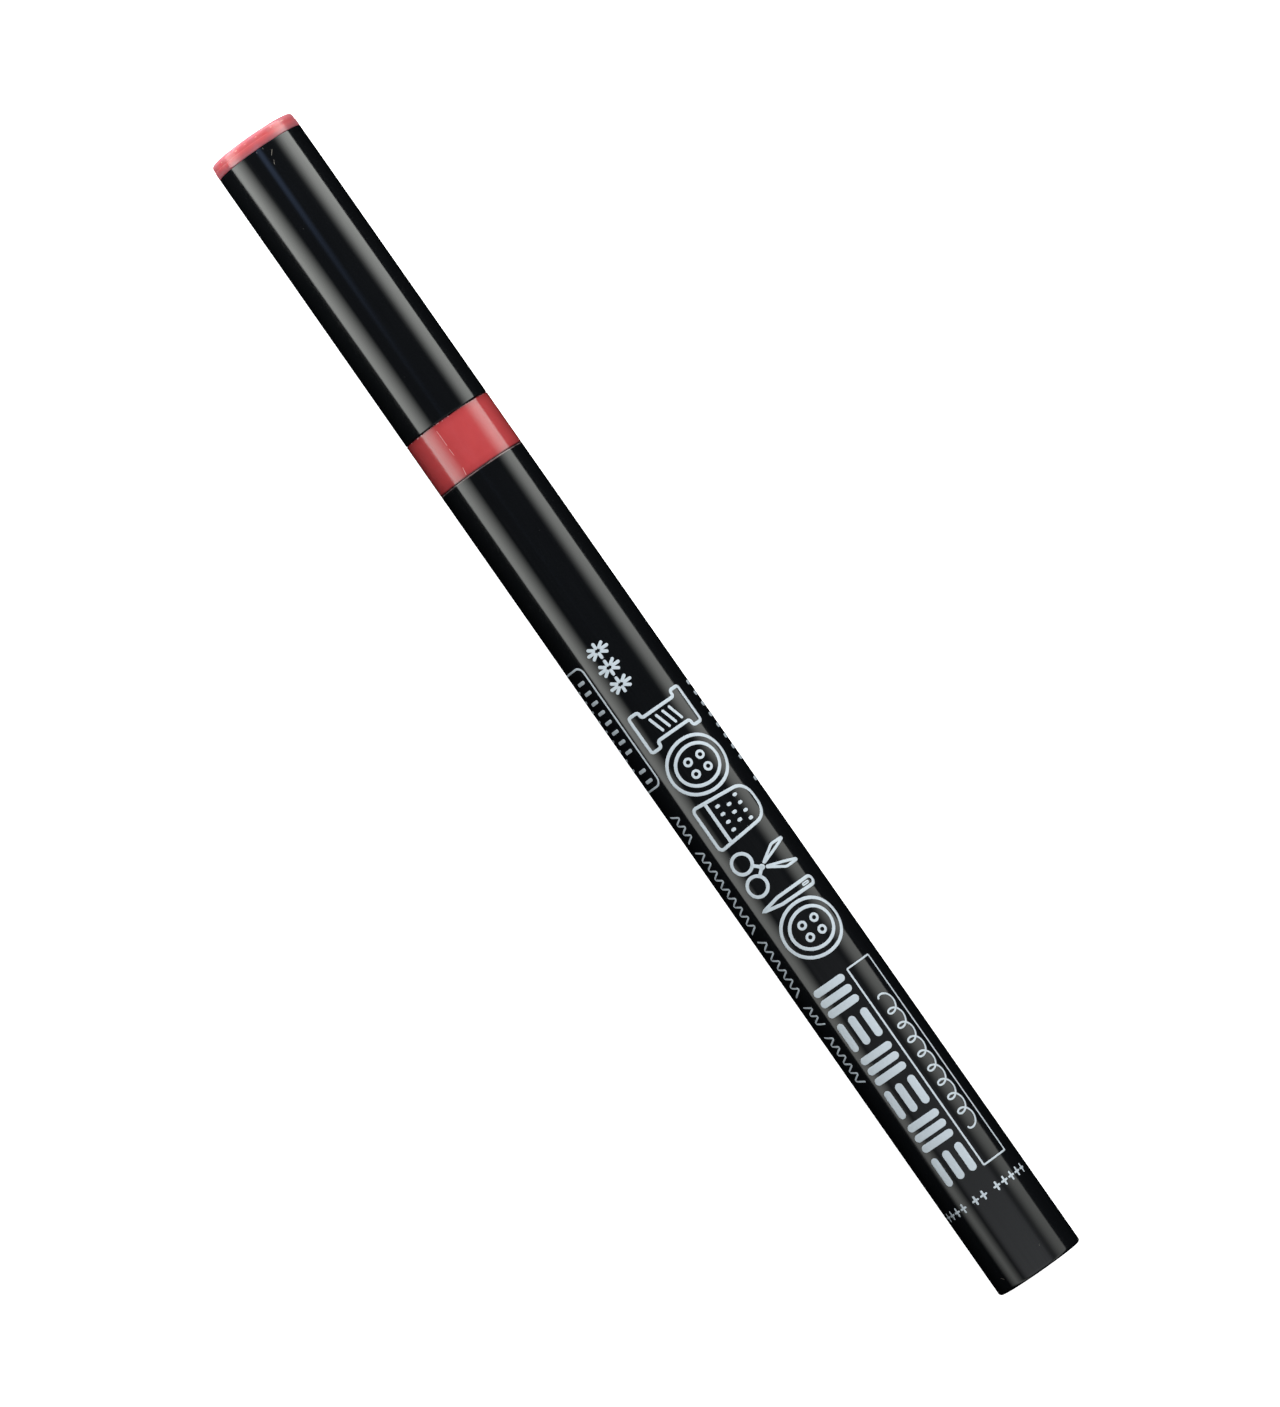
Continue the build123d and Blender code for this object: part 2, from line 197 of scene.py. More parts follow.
class Paint:
    """A procedural material round one Principled shader. Places are object coordinates, in metres."""

    def __init__(self, name, roughness, colour):
        self.material = bpy.data.materials.new(name)
        self.material.use_nodes = True
        self.tree = self.material.node_tree
        self.shader = self.tree.nodes["Principled BSDF"]
        self.shader.inputs["Roughness"].default_value = roughness
        self.shader.inputs["Base Color"].default_value = (*colour, 1)
        self.place = self.tree.nodes.new("ShaderNodeTexCoord").outputs["Object"]
        self.last_normal = None

    def node(self, kind, values=(), **settings):
        """Adds a node, sets its properties, and fills its inputs in order with values or sockets."""
        made = self.tree.nodes.new(kind)
        for key, value in settings.items():
            setattr(made, key, value)
        for socket, value in zip(made.inputs, values):
            self.feed(socket, value)
        return made

    def feed(self, socket, value):
        if isinstance(value, bpy.types.NodeSocket):
            self.tree.links.new(value, socket)
        elif value is not None:
            socket.default_value = value

    def set(self, name, value):
        self.feed(self.shader.inputs[name], value)

    def math(self, operation, *values):
        return self.node("ShaderNodeMath", values, operation=operation).outputs[0]

    def noise(self, per_mm, detail=2.0, roughness=0.5):
        """Noise with this many cells to the millimetre along X, Y and Z."""
        scale = tuple(value / MM for value in per_mm)
        stretched = self.node("ShaderNodeVectorMath", (self.place, scale), operation="MULTIPLY")
        made = self.node("ShaderNodeTexNoise")
        self.feed(made.inputs["Vector"], stretched.outputs[0])
        self.feed(made.inputs["Scale"], 1.0)
        self.feed(made.inputs["Detail"], detail)
        self.feed(made.inputs["Roughness"], roughness)
        return made.outputs[0]

    def cells(self, per_mm):
        """Distance from scattered points, this many to the millimetre."""
        made = self.node("ShaderNodeTexVoronoi")
        self.feed(made.inputs["Vector"], self.place)
        self.feed(made.inputs["Scale"], per_mm / MM)
        return made.outputs["Distance"]

    def fade(self, value, start, end, low=0.0, high=1.0):
        """Goes smoothly from low to high as value goes from start to end."""
        made = self.node("ShaderNodeMapRange", interpolation_type="SMOOTHSTEP")
        self.feed(made.inputs["Value"], value)
        self.feed(made.inputs["From Min"], start)
        self.feed(made.inputs["From Max"], end)
        self.feed(made.inputs["To Min"], low)
        self.feed(made.inputs["To Max"], high)
        return made.outputs[0]

    def blend(self, factor, first, second):
        """A colour from first, at factor 0, to second, at factor 1."""
        made = self.node("ShaderNodeMix", data_type="RGBA")
        self.feed(made.inputs["Factor"], factor)
        for key, colour in (("A", first), ("B", second)):
            socket = [s for s in made.inputs if s.name == key and s.type == "RGBA"][0]
            self.feed(socket, colour if isinstance(colour, bpy.types.NodeSocket) else (*colour, 1))
        return [s for s in made.outputs if s.type == "RGBA"][0]

    def bump(self, height, depth_mm, strength=1.0):
        """Adds relief of this depth on top of what the material has so far."""
        made = self.node("ShaderNodeBump")
        self.feed(made.inputs["Strength"], strength)
        self.feed(made.inputs["Distance"], depth_mm * MM)
        self.feed(made.inputs["Height"], height)
        self.feed(made.inputs["Normal"], self.last_normal)
        self.last_normal = made.outputs[0]
        self.set("Normal", self.last_normal)

    def station(self):
        """Each point's station, in mm."""
        split = self.node("ShaderNodeSeparateXYZ", (self.place,))
        return self.math("MULTIPLY_ADD", split.outputs[0], -1 / MM, TAIL_X)

    def near_station(self, station, reach):
        """1 at a station, falling to 0 at reach mm from it."""
        gap = self.math("ABSOLUTE", self.math("SUBTRACT", self.station(), station))
        return self.fade(gap, reach, 0.0)

    def scratch(self, start, end, width):
        """1 on a hairline between two places on the pen's surface, each a station and degrees."""
        first, last = (on_pen(s, math.radians(a), RADIUS) for s, a in (start, end))
        run = last - first
        vector_math = "ShaderNodeVectorMath"
        offset = self.node(vector_math, (self.place, first), operation="SUBTRACT").outputs[0]
        dot = self.node(vector_math, (offset, run), operation="DOT_PRODUCT").outputs["Value"]
        share = self.node(
            "ShaderNodeMath", (dot, 1 / run.length_squared), operation="MULTIPLY", use_clamp=True
        )
        foot = self.node(vector_math, operation="SCALE")
        self.feed(foot.inputs["Vector"], run)
        self.feed(foot.inputs["Scale"], share.outputs[0])
        gap = self.node(vector_math, (offset, foot.outputs[0]), operation="DISTANCE").outputs["Value"]
        return self.fade(gap, width / 2 * MM, width / 8 * MM)


def black_tube_material(name, scratches=(), painted_highlight_station=None):
    """Glossy black tube: fine die lines along it, a few specks of dust, scratches, and a painted
    highlight: a pale line at the given station, where the tube's sawn edge catches the light."""
    paint = Paint(name, 0.1, (0.005, 0.005, 0.0055))
    die_lines = paint.noise((0.02, 9, 9), detail=3)
    waves = paint.noise((0.12, 0.5, 0.5))
    specks = paint.fade(paint.cells(0.9), 0.06, 0.03)
    dusty_places = paint.fade(paint.noise((0.3, 0.3, 0.3)), 0.62, 0.7)
    dust = paint.math("MULTIPLY", specks, dusty_places)
    tint = paint.noise((0.2, 1.5, 1.5))
    colour = paint.blend(tint, (0.0032, 0.0037, 0.0044), (0.0043, 0.005, 0.0059))
    colour = paint.blend(paint.math("MULTIPLY", dust, 0.5), colour, (0.12, 0.12, 0.12))
    for scratch in scratches:
        colour = paint.blend(paint.scratch(*scratch), colour, (0.16, 0.15, 0.13))
    if painted_highlight_station is not None:
        # Painted highlight: a pale line where the sawn edge catches the light, broken up by noise.
        highlight_breakup = paint.fade(paint.noise((0.5, 0.9, 0.9), detail=3), 0.4, 0.6, 0.35, 1.0)
        edge = paint.math("MULTIPLY", paint.near_station(painted_highlight_station, 0.11), highlight_breakup)
        colour = paint.blend(edge, colour, (0.17, 0.12, 0.12))
    paint.set("Base Color", colour)
    paint.set("Roughness", paint.fade(die_lines, 0.3, 0.7, 0.07, 0.13))
    paint.bump(waves, 0.004, 0.5)
    paint.bump(die_lines, 0.0006, 0.5)
    return paint.material


def ring_material():
    """Red tube: die lines, painted shade towards both ends, a dark line at each joint,
    pale burrs on the cap's side and a few scratches.
    """
    paint = Paint("red_ring", 0.14, (0.45, 0.05, 0.055))
    die_lines = paint.noise((0.03, 8, 8), detail=3)
    cloud = paint.noise((0.5, 0.8, 0.8), detail=3)
    colour = paint.blend(cloud, (0.388, 0.045, 0.048), (0.434, 0.055, 0.059))
    for edge in (RING_START, RING_END):
        # Painted shade: the ring darkens within a millimetre of each end.
        shade = paint.math("MULTIPLY", paint.near_station(edge, 1.0), 0.35)
        colour = paint.blend(shade, colour, (0.2, 0.02, 0.025))
        colour = paint.blend(paint.near_station(edge, 0.24), colour, (0.06, 0.008, 0.012))
    flecks = paint.fade(paint.noise((1.5, 2.4, 2.4), detail=3), 0.56, 0.66)
    burr = paint.math("MULTIPLY", paint.near_station(RING_END - 0.1, 0.12), flecks)
    colour = paint.blend(paint.math("MULTIPLY", burr, 0.7), colour, (0.62, 0.36, 0.36))
    for scratch in RING_SCRATCHES:
        colour = paint.blend(paint.scratch(*scratch), colour, (0.62, 0.3, 0.3))
    paint.set("Base Color", colour)
    paint.set("IOR", 1.55)
    paint.set("Specular Tint", (0.75, 1.0, 1.0, 1))
    paint.set("Subsurface Weight", 0.12)
    paint.set("Subsurface Radius", (1.0, 0.25, 0.2))
    paint.set("Subsurface Scale", 0.4 * MM)
    paint.set("Roughness", paint.fade(die_lines, 0.3, 0.7, 0.1, 0.17))
    paint.bump(paint.noise((0.3, 0.7, 0.7)), 0.004, 0.4)
    paint.bump(die_lines, 0.0008, 0.5)
    return paint.material


def end_plug_material():
    """Translucent pinkish red moulding: a painted highlight pales its rim, painted shade darkens it
    where the tube's end shades it, and painted glints run round it near the rim's step.
    """
    paint = Paint("red_plug", 0.2, (0.6, 0.12, 0.135))
    cloud = paint.noise((0.8, 0.8, 0.8), detail=3)
    colour = paint.blend(cloud, (0.46, 0.094, 0.1), (0.54, 0.12, 0.128))
    # Painted highlight: paler towards the rim, where the rim catches the light.
    pale = paint.near_station(PEN_END, 0.8)
    colour = paint.blend(paint.math("MULTIPLY", pale, 0.5), colour, (0.74, 0.38, 0.46))
    shade = paint.near_station(FLANGE_START, 0.75)
    colour = paint.blend(paint.math("MULTIPLY", shade, 0.75), colour, (0.27, 0.095, 0.115))
    # Painted glints: a broken pale line round the plug near the rim's step, where the step catches the
    # light.
    flecks = paint.fade(paint.noise((2.0, 1.6, 1.6), detail=3), 0.54, 0.64)
    line = paint.math("MULTIPLY", paint.near_station(PEN_END - 0.55, 0.09), flecks)
    colour = paint.blend(paint.math("MULTIPLY", line, 0.6), colour, (0.85, 0.62, 0.5))
    paint.set("Base Color", colour)
    paint.set("Sheen Weight", 0.5)
    paint.set("Sheen Roughness", 0.4)
    paint.set("Sheen Tint", (1.0, 0.38, 0.45, 1))
    paint.set("Subsurface Weight", 0.9)
    paint.set("Subsurface Radius", (1.0, 0.4, 0.42))
    paint.set("Subsurface Scale", 2.0 * MM)
    paint.set("Roughness", paint.fade(cloud, 0.3, 0.7, 0.12, 0.2))
    paint.bump(paint.noise((3.0, 0.2, 0.2), detail=2), 0.004, 0.5)
    return paint.material


def ink_material():
    """Pale screen-printed ink, a little uneven and not as glossy as the tube."""
    paint = Paint("print_ink", 0.42, (0.46, 0.53, 0.58))
    grain = paint.noise((6, 6, 6), detail=3)
    pinholes = paint.fade(paint.cells(3.2), 0.14, 0.05)
    colour = paint.blend(grain, (0.42, 0.49, 0.54), (0.51, 0.575, 0.62))
    colour = paint.blend(paint.math("MULTIPLY", pinholes, 0.35), colour, (0.26, 0.3, 0.34))
    paint.set("Base Color", colour)
    paint.set("Roughness", paint.fade(grain, 0.3, 0.7, 0.36, 0.5))
    paint.bump(grain, 0.003, 0.5)
    return paint.material


def black_moulding_material():
    """Black moulded plastic with a fine satin texture and a soft sheen."""
    paint = Paint("black_moulding", 0.3, (0.007, 0.007, 0.0075))
    grain = paint.noise((12, 12, 12), detail=3)
    flow = paint.noise((0.4, 1.2, 1.2), detail=2)
    paint.set("Base Color", paint.blend(flow, (0.006, 0.006, 0.0065), (0.011, 0.011, 0.012)))
    paint.set("Roughness", paint.fade(flow, 0.3, 0.7, 0.22, 0.34))
    paint.bump(flow, 0.006, 0.3)
    paint.bump(grain, 0.002, 0.5)
    return paint.material


def natural_material():
    """Unpigmented plastic: milky, faintly warm, with soft flow marks."""
    paint = Paint("natural_plastic", 0.34, (0.78, 0.77, 0.72))
    flow = paint.noise((0.5, 1.0, 1.0), detail=3)
    paint.set("Base Color", paint.blend(flow, (0.74, 0.73, 0.67), (0.83, 0.82, 0.78)))
    paint.set("Subsurface Weight", 0.3)
    paint.set("Subsurface Radius", (1.0, 0.9, 0.75))
    paint.set("Subsurface Scale", 0.6 * MM)
    paint.set("Roughness", paint.fade(flow, 0.3, 0.7, 0.28, 0.42))
    paint.bump(paint.noise((9, 9, 9)), 0.002, 0.5)
    return paint.material


def fibre_material(name, dry, wet, per_mm):
    """Bonded fibres that run along the pen, stained with ink."""
    paint = Paint(name, 0.75, dry)
    strands = paint.noise((0.5, per_mm, per_mm), detail=4, roughness=0.65)
    stain = paint.noise((0.7, 0.9, 0.9), detail=3)
    paint.set("Base Color", paint.blend(paint.fade(strands, 0.3, 0.7), wet, paint.blend(stain, wet, dry)))
    paint.set("Sheen Weight", 0.25)
    paint.set("Roughness", paint.fade(stain, 0.3, 0.7, 0.6, 0.85))
    paint.bump(strands, 0.03, 0.8)
    return paint.material


def film_material():
    """Thin clear wrap with a faint haze in streaks along it."""
    paint = Paint("clear_film", 0.15, (0.85, 0.86, 0.87))
    haze = paint.noise((0.2, 2.0, 2.0), detail=3)
    paint.set("Roughness", paint.fade(haze, 0.3, 0.7, 0.1, 0.25))
    paint.set("Transmission Weight", 0.8)
    paint.bump(haze, 0.004, 0.5)
    return paint.material


# Fine scratches: where each starts and ends, as a station and degrees from the top, and its width.
CAP_SCRATCHES = (
    ((137.45, 11.5), (137.0, 7.2), 0.09),
    ((136.5, 6.1), (136.05, 3.9), 0.06),
    ((138.15, 3.3), (138.0, 3.2), 0.05),
    ((138.1, -5.5), (138.0, -5.6), 0.05),
)
RING_SCRATCHES = (
    ((104.5, -20.0), (102.7, -19.7), 0.07),
    ((102.3, -20.0), (101.5, -19.5), 0.07),
    ((99.95, -19.4), (99.2, -20.9), 0.09),
)
BARREL_SCRATCHES = (
    ((1.35, -49.0), (1.65, -53.5), 0.06),
    ((2.35, 13.0), (2.2, 12.3), 0.04),
)
# The barrel's pale line by the ring is a painted highlight.
barrel_black = black_tube_material("barrel_black", BARREL_SCRATCHES, RING_START - 0.09)
cap_black = black_tube_material("cap_black", CAP_SCRATCHES)
red_ring = ring_material()
red_plug = end_plug_material()
print_ink = ink_material()
black_moulding = black_moulding_material()
natural_plastic = natural_material()
nib_fibre = fibre_material("nib_fibre", (0.5, 0.05, 0.06), (0.25, 0.01, 0.016), 14)
reservoir_fibre = fibre_material("reservoir_fibre", (0.6, 0.2, 0.2), (0.3, 0.012, 0.02), 10)
clear_film = film_material()

# ================================================================ the pen body


def add_piece(piece, body, slot, *nodes):
    """Puts a piece on its body, and lets it stand for CAD nodes, whose meshes it hides."""
    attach(piece, body)
    if nodes:
        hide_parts(*nodes)
    return piece


def make_barrel():
    worn_tail, bore_edge = 0.35, 0.15
    edges = (worn_tail, CUT_EDGE, bore_edge, bore_edge)
    outline = tube_outline(TAIL, RING_START, RADIUS, BORE, edges)
    add_piece(lathe("barrel_shell", outline, barrel_black), "pen", "black_tube", "barrel")


def make_colour_ring():
    bore_edge = 0.02
    burr = 0.035

    def uneven(station, radius, angle):
        """The outside of the cap-side edge was cut with a burr, so it wanders by a few hundredths."""
        if station > RING_END - 0.3:
            station -= burr * (1 + ripple(angle, 4.0, 1.7)) * (radius > BORE + 0.1)
        return station, radius

    edges = (CUT_EDGE, CUT_EDGE, bore_edge, bore_edge)
    outline = tube_outline(RING_START, RING_END, RADIUS, BORE, edges)
    add_piece(lathe("colour_ring_shell", outline, red_ring, uneven), "pen", "red_ring", "colour_ring")


def make_tail_plug():
    disc_end = TAIL + 1.4
    outline = rounded(
        [
            (TAIL, 0),
            (TAIL, BORE - PLUG_BEVEL),
            (TAIL + PLUG_BEVEL, BORE),
            (TAIL_PLUG_END - PLUG_BEVEL, BORE),
            (TAIL_PLUG_END, BORE - PLUG_BEVEL),
            (TAIL_PLUG_END, SOCKET_RADIUS),
            (disc_end, SOCKET_RADIUS),
            (disc_end, 0),
        ],
        {1: 0.08, 2: 0.05, 6: 0.2},
    )
    add_piece(lathe("tail_plug_shell", outline, black_moulding), "pen", "black_moulding", "tail_plug")


def make_front_section():
    spigot_end = NOSE_END - NOSE_LENGTH
    chamber_end = COLLAR_START + COLLAR_LENGTH
    socket_end = RING_END - 0.8
    bead_middle, bead_half = RING_END + 3.8, 0.6
    bead_height = 3.53 - SPIGOT_RADIUS
    bead = []
    for k in range(-4, 5):
        share = k / 4
        height = bead_height * (1 - share * share)
        bead.append((bead_middle + bead_half * share, SPIGOT_RADIUS + height))
    rear = rounded(
        [
            (SECTION_START, SOCKET_RADIUS),
            (SECTION_START, BORE),
            (RING_END, BORE),
            (RING_END, SPIGOT_RADIUS),
        ],
        {1: 0.25, 2: 0.06},
        closed=False,
    )
    front = rounded(
        [
            bead[-1],
            (spigot_end, SPIGOT_RADIUS),
            (NOSE_END, NOSE_RADIUS),
            (NOSE_END, SLEEVE_RADIUS),
            (chamber_end, SLEEVE_RADIUS),
            (chamber_end, COLLAR_RADIUS),
            (socket_end, COLLAR_RADIUS),
            (socket_end, SOCKET_RADIUS),
        ],
        {1: 1.2, 2: 0.2, 3: 0.06},
        closed=False,
    )

    def parting_lines(station, radius, angle):
        """The mould's two halves leave a hair-thin ridge on each side."""
        on_line = abs(abs(math.sin(angle)) - 1) < 1e-4
        if on_line and RING_END < station < NOSE_END and radius > NOSE_RADIUS - 0.05:
            radius += 0.012
        return station, radius

    section = lathe("front_section_shell", rear + bead[:-1] + front, black_moulding, parting_lines)
    add_piece(section, "pen", "black_moulding", "front_section")


def from_groove(angle):
    """The angle from the nearest of four grooves round the pen."""
    return abs((angle + math.pi / 4) % (math.pi / 2) - math.pi / 4)


def make_nib_holder():
    chamber_end = COLLAR_START + COLLAR_LENGTH
    groove_half, groove_depth = 0.25, 0.25

    def grooved(station, radius, angle):
        """Four air grooves run along the collar and the sleeve."""
        if radius > NIB_RADIUS + 0.2 and from_groove(angle) * radius < groove_half:
            radius -= groove_depth
        return station, radius

    outline = rounded(
        [
            (COLLAR_START, NIB_RADIUS),
            (COLLAR_START, COLLAR_RADIUS),
            (chamber_end, COLLAR_RADIUS),
            (chamber_end, SLEEVE_RADIUS),
            (HOLDER_END, SLEEVE_RADIUS),
            (HOLDER_END, NIB_RADIUS),
        ],
        {1: 0.1, 2: 0.05, 4: 0.12, 5: 0.05},
    )
    holder = lathe("nib_holder_sleeve", outline, natural_plastic, grooved)
    add_piece(holder, "pen", "natural_plastic", "nib_holder")


def make_nib():
    tip_radius, tip_length, tail_length, tail_radius = 0.35, 1.9, 1.5, 0.25
    tip = []
    for degrees in range(0, 76, 15):
        turn = math.radians(degrees)
        tip.append((NIB_END - tip_radius * (1 - math.cos(turn)), tip_radius * math.sin(turn)))
    shoulder = (NIB_END - tip_length, NIB_RADIUS)
    rear = [(NIB_START + tail_length, NIB_RADIUS), (NIB_START, tail_radius), (NIB_START, 0)]
    outline = rounded([tip[-1], shoulder, *rear], {1: 1.2}, closed=False)
    nib = lathe("nib_rod", tip[:-1] + outline, nib_fibre, segments=96)
    add_piece(nib, "pen", "inked_fibre", "nib")


make_barrel()
make_colour_ring()
make_tail_plug()
make_front_section()
make_nib_holder()
make_nib()

# ================================================================ the cap


def make_cap_tube():
    bore_end, mouth_lead_in = 0.02, 0.3
    edges = (CUT_EDGE, CUT_EDGE / 2, bore_end, mouth_lead_in)
    outline = tube_outline(MOUTH, FLANGE_START, RADIUS, BORE, edges)
    add_piece(lathe("cap_shell", outline, cap_black), "cap", "black_tube", "cap_tube")


def make_end_plug():
    """A skirt in the cap's bore, and a flange with a small step, a crowned face and a gate recess."""
    face_radius, crown = RADIUS - 0.05, 0.12
    step = FLANGE_START + 0.8
    back = FLANGE_START + 0.02
    hollow_radius, hollow_end = 3.25, FLANGE_START + 0.4
    gate_floor = PEN_END - 0.15
    gate_floor_radius, gate_radius = 0.76, 0.82
    dome = [(PEN_END - crown * (r / face_radius) ** 2, r) for r in (0.95, 1.9, 2.85, 3.8)]
    flange = rounded(
        [
            dome[-1],
            (PEN_END - crown, face_radius),
            (step, face_radius),
            (step - 0.03, RADIUS),
            (back, RADIUS),
            (back, BORE),
            (SKIRT_START + PLUG_BEVEL, BORE),
            (SKIRT_START, BORE - PLUG_BEVEL),
            (SKIRT_START, hollow_radius),
            (hollow_end, hollow_radius),
            (hollow_end, 0),
        ],
        {1: 0.36, 2: 0.02, 3: 0.03, 4: 0.06, 9: 0.3},
        closed=False,
    )
    gate = rounded(
        [(gate_floor, 0), (gate_floor, gate_floor_radius), (PEN_END, gate_radius), dome[0]],
        {1: 0.05, 2: 0.03},
        closed=False,
    )
    outline = gate[:-1] + dome[:-1] + flange
    add_piece(lathe("end_plug_shell", outline, red_plug), "cap", "red_plug", "cap_end_plug")


def make_inner_cap():
    """A liner with a grip in the cap's bore, a sealing land inside, a cone, and a cup over the nib."""
    bore, land, cup, cup_outer, cup_floor = 3.6, 3.52, 1.7, 2.55, 1.2
    start, end = stations("inner_cap")
    grip_end = start + 10.6
    cone_slope = (SPIGOT_RADIUS - NOSE_RADIUS) / NOSE_LENGTH      # as steep as the front section's nose
    cup_start = grip_end + (bore - cup) / cone_slope
    land_start = RING_END + 7.7
    land_end = land_start + 2.0
    ease, bevel = bore - land, 0.42
    outline = rounded(
        [
            (start, bore + 0.2),
            (start, BORE - 0.1),
            (start + 0.1, BORE),
            (grip_end, BORE),
            (cup_start, cup_outer),
            (end - bevel, cup_outer),
            (end, cup_outer - bevel),
            (end, 0),
            (end - cup_floor, 0),
            (end - cup_floor, cup),
            (cup_start, cup),
            (grip_end, bore),
            (land_end + ease, bore),
            (land_end, land),
            (land_start, land),
            (land_start - ease, bore),
            (start + 0.2, bore),
        ],
        {0: 0.06, 3: 0.3, 4: 0.4, 5: 0.12, 6: 0.12, 9: 0.3, 10: 0.3, 11: 0.6, 16: 0.06},
    )
    groove_half, groove_radius = 0.5, BORE - 0.2

    def grooved(station, radius, angle):
        """Four air grooves run along the grip."""
        if station < grip_end + 0.4 and from_groove(angle) * radius < groove_half:
            radius = min(radius, groove_radius)
        return station, radius

    liner = lathe("inner_cap_liner", outline, natural_plastic, grooved)
    add_piece(liner, "cap", "natural_plastic", "inner_cap")


make_cap_tube()
make_inner_cap()
make_end_plug()

# The ink reservoir and its film keep the CAD's own meshes.
for node, material in (
    ("ink_reservoir", reservoir_fibre),
    ("reservoir_film", clear_film),
):
    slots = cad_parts[node].data.materials
    if len(slots) == 0:
        slots.append(material)
    for i in range(len(slots)):
        slots[i] = material

# ================================================================ the print, as raised ink

INK_HEIGHT = 0.012
INK_DEPTH = 0.01         # how far the ink's underside is sunk in the tube
INK_EDGE = 0.02
STEP = 0.2               # longest run of a stroke between two rows of points
LANE_WIDTH = 0.14        # widest gap between two points across a stroke


def resample(path, closed):
    """The same path with no run longer than STEP."""
    ends = path[1:] + path[:1] if closed else path[1:]
    made = []
    for here, after in zip(path, ends):
        run = Vector(after) - Vector(here)
        pieces = max(1, math.ceil(run.length / STEP))
        made += [Vector(here) + run * (k / pieces) for k in range(pieces)]
    if not closed:
        made.append(Vector(path[-1]))
    return [p for i, p in enumerate(made) if i == 0 or (p - made[i - 1]).length > 1e-4]


def stroke_rows(path, width, closed):
    """For each row of a stroke: its middle, its sideways direction and its half width.
    Loose ends are round."""
    points = resample(path, closed)
    count = len(points)
    rows = []
    for i, here in enumerate(points):
        before = points[i - 1] if closed or i > 0 else here
        after = points[(i + 1) % count] if closed or i < count - 1 else here
        direction = (after - before).normalized()
        rows.append((here, Vector((-direction.y, direction.x)), width / 2))
    if not closed:
        cap = [math.radians(a) for a in (20, 40, 60, 75, 88)]
        for end, sign in ((0, -1), (-1, 1)):
            middle, side, half = rows[end]
            forward = Vector((side.y, -side.x)) * sign
            extra = [(middle + forward * half * math.sin(a), side, half * math.cos(a)) for a in cap]
            rows = extra[::-1] + rows if sign < 0 else rows + extra
    return rows


def add_stroke(bm, centre_station, centre_arc, path, width, closed=False):
    """Adds one stroke of ink. path is in mm about the centre: towards the tail, then towards +Y."""
    lanes = max(2, math.ceil(width / LANE_WIDTH))
    rings = []
    for middle, side, half in stroke_rows([tuple(p) for p in path], width, closed):
        profile = [(-half, -INK_DEPTH), (-half, INK_HEIGHT * 0.5)]
        inner = max(half - INK_EDGE, half * 0.5)
        profile += [(-inner + 2 * inner * k / lanes, INK_HEIGHT) for k in range(lanes + 1)]
        profile += [(half, INK_HEIGHT * 0.5), (half, -INK_DEPTH)]
        ring = []
        for offset, height in profile:
            spot = middle + side * offset
            angle = (centre_arc + spot.y) / RADIUS
            ring.append(bm.verts.new(on_pen(centre_station - spot.x, angle, RADIUS + height)))
        rings.append(ring)
    pairs = list(zip(rings, rings[1:] + rings[:1])) if closed else list(zip(rings, rings[1:]))
    size = len(rings[0])
    for here, after in pairs:
        for k in range(size):
            n = (k + 1) % size
            bm.faces.new((here[k], here[n], after[n], after[k]))
    if not closed:
        bm.faces.new(rings[0])
        bm.faces.new(rings[-1])


def print_group(name, marks):
    """One printed piece from several marks: (centre station, centre arc, [(path, width, closed), ...])."""
    bm = bmesh.new()
    for station, arc, strokes in marks:
        for path, width, closed in strokes:
            add_stroke(bm, station, arc, path, width, closed)
    add_piece(make_object(name, bm, print_ink, 50), "pen", "print_ink")


def circle(x, y, radius, steps):
    made = []
    for k in range(steps):
        turn = 2 * math.pi * k / steps
        made.append((x + radius * math.cos(turn), y + radius * math.sin(turn)))
    return made


def box_path(width, height, corner):
    w, h = width / 2, height / 2
    return rounded([(-w, -h), (w, -h), (w, h), (-w, h)], corner)


# Each mark below is a list of strokes about its own middle, and line is the width of its strokes.


def spool(line):
    """A reel of thread in outline: two flanges, a waist, and the windings across it."""
    w, h, waist, flange = 2.13, 3.3, 1.42, 1.25
    side = [(w, h), (w, h - flange), (waist, h - flange), (waist, flange - h), (w, flange - h), (w, -h)]
    outline = side + [(-x, -y) for x, y in side]
    strokes = [(rounded(outline, 0.3, steps=4), line, True)]
    for k in (-1.5, -0.5, 0.5, 1.5):
        strokes.append(([(-0.8, k * 0.8 - 0.25), (0.8, k * 0.8 + 0.25)], line * 0.8, False))
    return strokes


def button(line):
    """A four-hole button in outline."""
    tall = 1.1
    strokes = [([(x, y * tall) for x, y in circle(0, 0, 3.0, 64)], line, True)]
    strokes.append(([(x, y * tall) for x, y in circle(0, 0, 2.15, 56)], line, True))
    for x in (-0.72, 0.72):
        for y in (-0.75, 0.75):
            strokes.append((circle(x, y, 0.36, 20), line * 0.75, True))
    return strokes


def thimble(line):
    """A thimble in outline, with its rim and rows of dimples."""
    foot, head, h = 2.55, 1.95, 3.3
    corners = [(-foot, -h), (foot, -h), (head, h), (-head, h)]
    body = rounded(corners, {0: 0.45, 1: 0.45, 2: 1.75, 3: 1.75}, steps=8)
    rim = -h + 1.5
    strokes = [(body, line, True), ([(-foot + 0.25, rim), (foot - 0.25, rim)], line, False)]
    for row, count in ((-0.85, 4), (0.25, 3), (1.35, 4)):
        for k in range(count):
            x = (k - (count - 1) / 2) * 0.95
            strokes.append(([(x, row - 0.08), (x, row + 0.08)], line, False))
    return strokes


